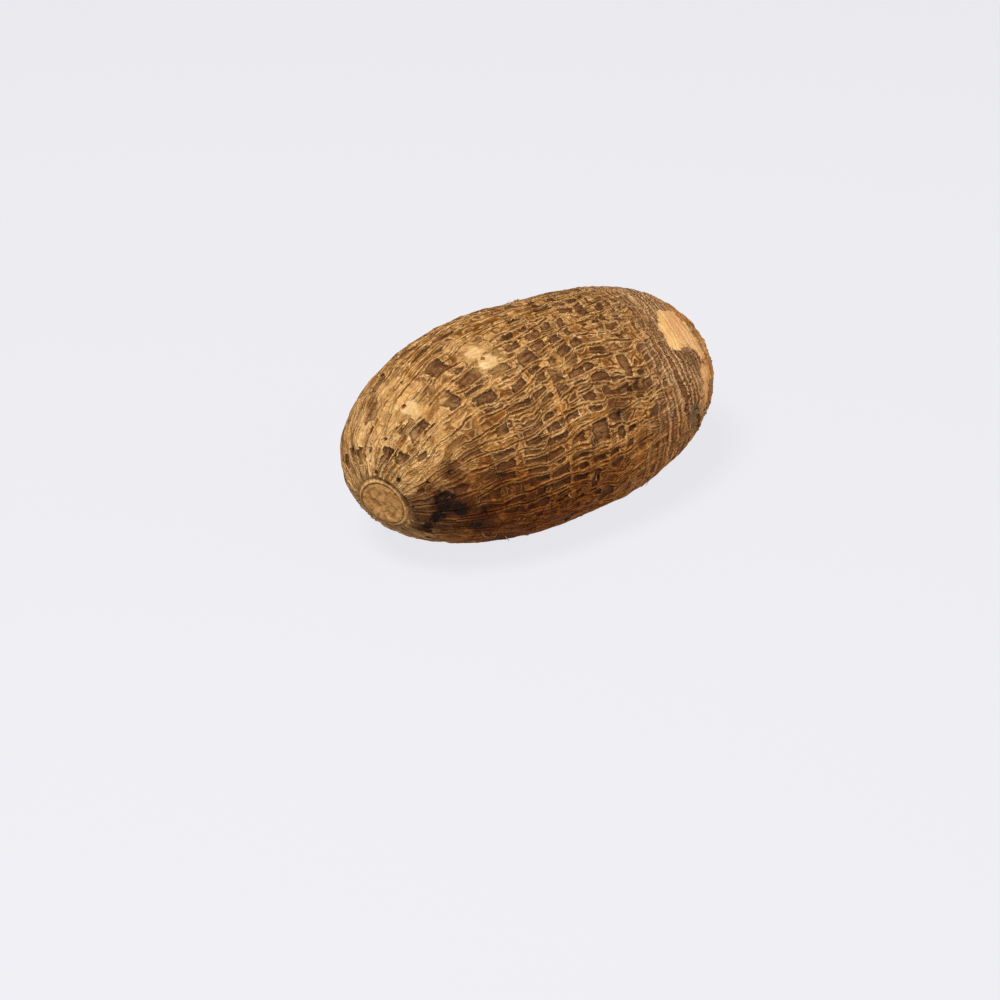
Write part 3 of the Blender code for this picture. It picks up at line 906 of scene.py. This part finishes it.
# The low side is painted darker, partly as shade and partly as soil, and fine dust lies over all.
for names, strength, shade in (
    ("low_side past_stem", 1.0, "#F6E0B4"), ("low_side past_stem stem_half", 1.0, "#CAAC78"),
    ("dust", 0.25, "#B08658"),
):
    blend = {0: where(names, strength), 6: colour, 7: shade}
    colour = add(cork, "Mix", blend, **BLEND, blend_type="MULTIPLY")

# Fine relief below the mesh's own, in millimetres. The net's is worn smooth at bare patches, and
# isn't there on the stem scar and at the tip, which have their own.
height = 0.0
for names, rise in (
    ("lip_out lip_in thread", 0.5), ("line unbroken open", -0.55), ("scale kept", -0.45),
    ("scale_lip_out scale_lip_in kept", 0.25), ("split_lip_out split_lip_in ground", 0.25),
    ("flake dark_flake ground", -0.2), ("split unbroken ground", -0.3), ("thread", 0.25),
    ("hair body", -0.1), ("ring_zone ring_dark", -0.4), ("leaf_scar ring_zone", 0.3),
    ("stem_end end_furrow", -0.5), ("leaf_scar", 0.12),
):
    height = add(cork, "Math", {0: height, 1: where(names, rise)}, operation="ADD")
for name, kept in (("off_scar", 0.0), ("net_zone", 0.1), ("not_bare", 0.2), ("not_tip_bare", 0.12)):
    worn = add(cork, "MapRange", {"Value": share[name], "To Min": kept})
    height = add(cork, "Math", {0: height, 1: worn}, operation="MULTIPLY")
for names, rise in (
    ("fleck", 0.12), ("dust", 0.05), ("hole", -0.6), ("on_disc patch", -0.35), ("on_disc fleck", -0.3),
    ("tip_zone ring_dark", -0.5), ("tip_zone patch", -0.4), ("tip_bare ring_pale", 0.08),
):
    height = add(cork, "Math", {0: height, 1: where(names, rise)}, operation="ADD")
dress(cork, bark_surface, colour, height, 1.0)

skin_mesh.materials.append(bark)
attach(tuber_skin, "root")
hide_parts("tuber")


# Rootlets are what is left of the fine roots that were torn off at harvest: thin, dry, bent
# threads, thicker where they leave the skin and broken at the end. Most are on the underside.
# Each is its distance from the stem, degrees round, length, radius, lean to the tip and lean round.
ROOTLETS = (
    (99, 58, 4.5, 0.30, 0.6, 0.5), (23, 34, 3.5, 0.30, -0.4, 0.6), (30, 42, 2.6, 0.26, 0.3, -0.5),
    (128, 52, 3, 0.28, 0.8, 0.1), (61.7, 108, 2.2, 0.30, 0.5, 0.4), (81.2, 190, 3.6, 0.34, 0.3, 0.7),
    (96, 186, 4, 0.32, -0.5, 0.6), (18, 205, 3.8, 0.30, -0.3, -0.6), (44, 214, 5, 0.30, 0.7, 0.3),
)
MORE_ROOTLETS = 26
ROOTLET_SPANS = ((16, 180), (195, 345), (2, 5.5), (0.2, 0.36), (-0.9, 0.9), (-0.9, 0.9))
ROOTLET_SIDES = 6
ROOTLET_JOINTS = 6
ROOTLET_END = 0.3
ROOTLET_ARCH = (0.8, 0.45)
ROOTLET_BENDS = (4.0, 5.0)
ROOTLET_SWAYS = (-0.5, 0.5)
ROOTLET_SWAY_PART = 0.3
ROOT_SUNK = 0.5
OFF_TABLE = 0.05
NEAR_ROWS = 3
NEAR_COLUMNS = 4
BODY_CORE = Vector((0.0, 0.0, 44.0))
skin_grid = place - np.array([*middle_across, lowest])
skin_grid[..., 2] = np.maximum(0.0, skin_grid[..., 2])


def skin_frame(distance, degrees):
    """Point of the finished skin, with the way out of it, the way to the tip and the way round."""
    row = int(np.clip(np.searchsorted(row_growth, distance), NEAR_ROWS, ROWS - 1 - NEAR_ROWS))
    column = int(round(degrees / 360.0 * COLUMNS)) % COLUMNS
    along = Vector(skin_grid[row + NEAR_ROWS, column] - skin_grid[row - NEAR_ROWS, column]).normalized()
    ahead, behind = (column + NEAR_COLUMNS) % COLUMNS, column - NEAR_COLUMNS
    around = Vector(skin_grid[row, ahead] - skin_grid[row, behind]).normalized()
    out = along.cross(around).normalized()
    point = Vector(skin_grid[row, column])
    if out.dot(point - BODY_CORE) < 0.0:
        out.negate()
    return point, out, along, around


def add_dry_piece(name, shape, material):
    """Makes a shape in millimetres a piece that is clear of the table."""
    for vertex in shape.verts:
        vertex.co.z = max(OFF_TABLE, vertex.co.z)
    bmesh.ops.recalc_face_normals(shape, faces=shape.faces)
    bmesh.ops.scale(shape, vec=(MM, MM, MM), verts=shape.verts)
    piece = add_piece(name, shape)
    piece.data.materials.append(material)
    return piece


threads = bmesh.new()
draw = np.random.default_rng(SEED + 1)
low_rootlets = [[draw.uniform(*span) for span in ROOTLET_SPANS] for _ in range(MORE_ROOTLETS)]
for distance, degrees, length, radius, lean, turn in (*ROOTLETS, *low_rootlets):
    first = len(threads.verts)
    bmesh.ops.create_cone(
        threads, cap_ends=True, segments=ROOTLET_SIDES, radius1=radius, radius2=radius * ROOTLET_END,
        depth=1.0,
    )
    threads.verts.ensure_lookup_table()
    fresh = set(threads.verts[first:])
    lengthwise = [
        edge for edge in threads.edges
        if edge.verts[0] in fresh and abs(edge.verts[0].co.z - edge.verts[1].co.z) > 0.5
    ]
    bmesh.ops.subdivide_edges(threads, edges=lengthwise, cuts=ROOTLET_JOINTS)
    threads.verts.ensure_lookup_table()
    point, out, along, around = skin_frame(distance, degrees)
    sway = draw.uniform(*ROOTLET_SWAYS, 2).tolist()
    for vertex in threads.verts[first:]:
        step = vertex.co.z + 0.5
        bends = [sway[k] * math.sin(ROOTLET_BENDS[k] * step) * ROOTLET_SWAY_PART for k in (0, 1)]
        rise = length * (ROOTLET_ARCH[0] * step - ROOTLET_ARCH[1] * step**2) - ROOT_SUNK
        slide, swing = length * (lean * step + bends[0]), length * (turn * step + bends[1])
        side = vertex.co.x * around + vertex.co.y * along
        vertex.co = point + rise * out + slide * along + swing * around + side

# Dried root is dead fibre, matt and brown, lighter where its skin has rubbed off.
ROOT_MOTTLE = 1.5
ROOT_RELIEF = 0.2
dry_root, root_tree, root_surface = new_material("dried_root", {"Roughness": 0.8})
at_root = add(root_tree, "TexCoord", {}, "Object")
spots = add(root_tree, "TexNoise", {"Vector": at_root, "Scale": 1.0 / (ROOT_MOTTLE * MM), "Detail": 3.0})
root_colour = add(root_tree, "Mix", {0: spots, 6: "#4E3218", 7: "#B28A58"}, **BLEND)
dress(root_tree, root_surface, root_colour, spots, ROOT_RELIEF)
rootlets = add_dry_piece("rootlets", threads, dry_root)
rootlets.data.shade_smooth()
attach(rootlets, "root")


# Loose skin is papery old bark that has come away at leaf scars and at the tip. Each flake is still
# held along one edge, and its free edge is ragged and curls up.
FLAKES_ON_BODY = 34
FLAKES_AT_TIP = 14
FLAKE_TIP_SPAN = (172.0, 196.0)
FLAKE_GRID = (6, 4)
FLAKE_THICKNESS = 0.14
FLAKE_SPANS = ((1.6, 3.6), (1.6, 4.2), (0.25, 0.9), (-0.4, 0.4), (0, 50))
FLAKE_SUNK = 0.3
FLAKE_TAPER = 0.45
FLAKE_RIPPLES = (3.0, 5.0)
SIDE_RIPPLE = 0.12
CURL_RIPPLE = 0.8
LIFT_RIPPLE = 0.25
FREE_EDGE_BULGE = 1.6
FREE_EDGE_RIPPLES = 4.0
FREE_EDGE_RIPPLE = 0.6
SEEN_FLAKES = ((98, 60), (101, 61), (139, 48), (146, 70), (157, 92))
flakes = bmesh.new()
draw = np.random.default_rng(SEED + 2)
flake_places = list(SEEN_FLAKES)
flake_places += [(draw.choice(stations[3:-6]), draw.uniform(0.0, 360.0)) for _ in range(FLAKES_ON_BODY)]
flake_places += [(draw.uniform(*FLAKE_TIP_SPAN), draw.uniform(0.0, 360.0)) for _ in range(FLAKES_AT_TIP)]
for distance, degrees in flake_places:
    made = bmesh.ops.create_grid(flakes, x_segments=FLAKE_GRID[0], y_segments=FLAKE_GRID[1], size=0.5)
    length, width, curl, skew, seed = [draw.uniform(*span) for span in FLAKE_SPANS]
    point, out, along, around = skin_frame(distance, degrees)
    for vertex in made["verts"]:
        step, side = vertex.co.x + 0.5, vertex.co.y
        ripple = noise.noise(Vector((FLAKE_RIPPLES[0] * step, FLAKE_RIPPLES[1] * side, seed)))
        free_edge = FREE_EDGE_RIPPLE * noise.noise(Vector((0.0, FREE_EDGE_RIPPLES * side, seed)))
        reach = length * step * (1.0 + free_edge - FREE_EDGE_BULGE * side**2)
        breadth = width * (side * (1.0 - FLAKE_TAPER * step) + skew * step + SIDE_RIPPLE * ripple)
        rise = curl * step**2 * (1.0 + CURL_RIPPLE * ripple) + LIFT_RIPPLE * ripple * step
        rise -= FLAKE_SUNK * (1.0 - step) ** 3
        vertex.co = point + reach * along + breadth * around + rise * out
    faces = list(dict.fromkeys(face for vertex in made["verts"] for face in vertex.link_faces))
    bmesh.ops.solidify(flakes, geom=faces, thickness=FLAKE_THICKNESS)

# Papery bark has fine darker streaks and a slight dry sheen.
STREAK = 0.9
STREAK_RELIEF = 0.15
paper_bark, flake_tree, flake_surface = new_material("papery_bark", {"Roughness": 0.62})
at_flake = add(flake_tree, "TexCoord", {}, "Object")
streaks = add(flake_tree, "TexNoise", {
    "Vector": at_flake, "Scale": 1.0 / (STREAK * MM), "Detail": 4.0, "Distortion": 0.6,
})
streak_share = add(flake_tree, "MapRange", {"Value": streaks, "From Min": 0.35, "From Max": 0.68})
flake_colour = add(flake_tree, "Mix", {0: streak_share, 6: "#4E3018", 7: "#A07444"}, **BLEND)
dress(flake_tree, flake_surface, flake_colour, streaks, STREAK_RELIEF)
loose_skin = add_dry_piece("loose_skin", flakes, paper_bark)
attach(loose_skin, "root")


# The table is a plain pale sheet, with the same pale light all round. It glows a little, as paper
# over a light does, so that the object throws only a soft, faint shadow.
PAPER = "#EEEDF2"
PAPER_SHADE = (0.05, 0.05, 0.053, 1.0)
PAPER_GLOW = 0.905
LIGHT_ALL_ROUND = 0.3
TABLE_HALF = 3.0
paper = new_material("studio_paper", {
    "Base Color": PAPER_SHADE, "Roughness": 1.0, "Specular IOR Level": 0.0,
    "Emission Color": linear(PAPER), "Emission Strength": PAPER_GLOW,
})[0]
sheet = bmesh.new()
bmesh.ops.create_grid(sheet, x_segments=1, y_segments=1, size=TABLE_HALF)
table = add_piece("table", sheet)
table.data.materials.append(paper)

world = bpy.data.worlds.new("studio")
world.use_nodes = True
background = world.node_tree.nodes["Background"].inputs
background["Color"].default_value = linear(PAPER)
background["Strength"].default_value = LIGHT_ALL_ROUND
bpy.context.scene.world = world
bpy.context.scene.view_settings.view_transform = "Standard"

# Each lamp is a soft disc: where it is, its width in metres and its power in watts.
for name, spot, size, power in (
    ("window", (-0.55, -0.25, 1.15), 0.45, 25.5),
    ("fill", (0.3, -1.2, 0.6), 1.0, 3.0),
    ("side", (1.0, -0.7, 0.3), 0.8, 7.0),
):
    lamp = bpy.data.lights.new(name, "AREA")
    lamp.shape = "DISK"
    lamp.size = size
    lamp.energy = power
    holder = bpy.data.objects.new(name, lamp)
    holder.location = spot
    holder.rotation_euler = Vector(spot).to_track_quat("Z", "Y").to_euler()
    bpy.context.scene.collection.objects.link(holder)

# The camera looks down on the tuber's stem end from its front, with the tuber above and left of the
# middle of the picture.
AZIMUTH = math.radians(-35.0)
ELEVATION = math.radians(34.0)
CAMERA_DISTANCE = 0.957
BODY_MIDDLE = Vector((-3.1, 0.4, 43.76)) * MM
MIDDLE_RIGHT = -10.4 * MM
MIDDLE_UP = -34.6 * MM
viewer = Vector((
    math.sin(AZIMUTH) * math.cos(ELEVATION),
    -math.cos(AZIMUTH) * math.cos(ELEVATION),
    math.sin(ELEVATION),
))
right = Vector((math.cos(AZIMUTH), math.sin(AZIMUTH), 0.0))
aim = BODY_MIDDLE + MIDDLE_RIGHT * right + MIDDLE_UP * viewer.cross(right)
lens = bpy.data.cameras.new("camera")
lens.lens = 85.0
lens.sensor_width = 36.0
camera = bpy.data.objects.new("camera", lens)
camera.location = aim + CAMERA_DISTANCE * viewer
camera.rotation_euler = viewer.to_track_quat("Z", "Y").to_euler()
bpy.context.scene.collection.objects.link(camera)
bpy.context.scene.camera = camera
